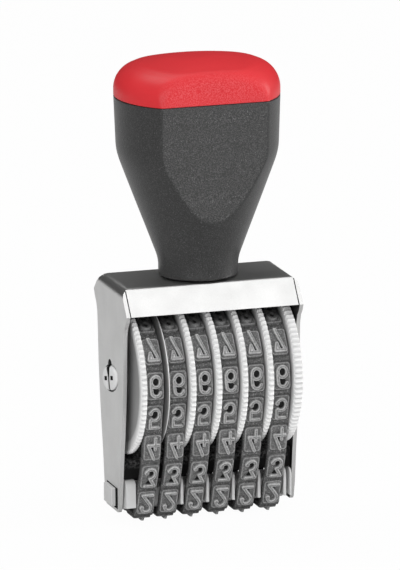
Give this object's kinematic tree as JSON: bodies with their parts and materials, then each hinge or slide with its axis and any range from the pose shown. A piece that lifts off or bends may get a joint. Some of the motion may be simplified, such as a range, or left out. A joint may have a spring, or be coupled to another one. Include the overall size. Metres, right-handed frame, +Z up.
{
  "type": "band numbering stamp",
  "caption": "Hand stamp with endless toothed number bands on knurled thumb wheels in a folded steel frame, set by turning the wheels and pressed by a flat-sided handle.",
  "frame": {"origin": "under the middle of the printing faces, at the level of the raised characters that touch the paper", "axes": "+Z up the handle, +X along the axle to the right of the line of characters, -Y to the front"},
  "size_m": [0.0385, 0.031, 0.0936],
  "materials": {
    "plated_steel": "bright nickel plating on folded sheet",
    "screw_steel": "plain zinc-plated steel",
    "white_plastic": "satin moulded plastic",
    "separator_plastic": "smooth moulded plastic",
    "washer_nylon": "plain nylon",
    "bridge_plastic": "satin moulded plastic",
    "band_rubber": "moulded rubber, slightly dusty",
    "black_plastic": "satin sides, fine grain on the front and rear flats",
    "red_plastic": "satin moulded plastic"
  },
  "bodies": {
    "frame": {"steel_frame": "plated_steel", "axle": "white_plastic", "separator_disc": "separator_plastic", "end_washer_left": "washer_nylon", "end_washer_right": "washer_nylon", "bridge_comb": "bridge_plastic", "handle_screw": "screw_steel", "handle_washer": "screw_steel", "handle_body": "black_plastic", "handle_cap": "red_plastic", "guide_bar": "black_plastic", "number_band_1": "band_rubber", "number_band_2": "band_rubber", "number_band_3": "band_rubber", "number_band_4": "band_rubber", "number_band_5": "band_rubber", "number_band_6": "band_rubber"},
    "wheel_1": {"number_wheel_1": "white_plastic"},
    "wheel_2": {"number_wheel_2": "white_plastic"},
    "wheel_3": {"number_wheel_3": "white_plastic"},
    "wheel_4": {"number_wheel_4": "white_plastic"},
    "wheel_5": {"number_wheel_5": "white_plastic"},
    "wheel_6": {"number_wheel_6": "white_plastic"}
  },
  "joints": [
    {"name": "wheel_1_turn", "type": "hinge", "parent": "frame", "child": "wheel_1", "pos_m": [-0.0132, 0, 0.02918], "axis": [1, 0, 0], "continuous": true, "deforming": ["number_band_1"]},
    {"name": "wheel_2_turn", "type": "hinge", "parent": "frame", "child": "wheel_2", "pos_m": [-0.0084, 0, 0.02918], "axis": [1, 0, 0], "continuous": true, "deforming": ["number_band_2"]},
    {"name": "wheel_3_turn", "type": "hinge", "parent": "frame", "child": "wheel_3", "pos_m": [-0.003, 0, 0.02918], "axis": [1, 0, 0], "continuous": true, "deforming": ["number_band_3"]},
    {"name": "wheel_4_turn", "type": "hinge", "parent": "frame", "child": "wheel_4", "pos_m": [0.0024, 0, 0.02918], "axis": [1, 0, 0], "continuous": true, "deforming": ["number_band_4"]},
    {"name": "wheel_5_turn", "type": "hinge", "parent": "frame", "child": "wheel_5", "pos_m": [0.0078, 0, 0.02918], "axis": [1, 0, 0], "continuous": true, "deforming": ["number_band_5"]},
    {"name": "wheel_6_turn", "type": "hinge", "parent": "frame", "child": "wheel_6", "pos_m": [0.0132, 0, 0.02918], "axis": [1, 0, 0], "continuous": true, "deforming": ["number_band_6"]}
  ]
}
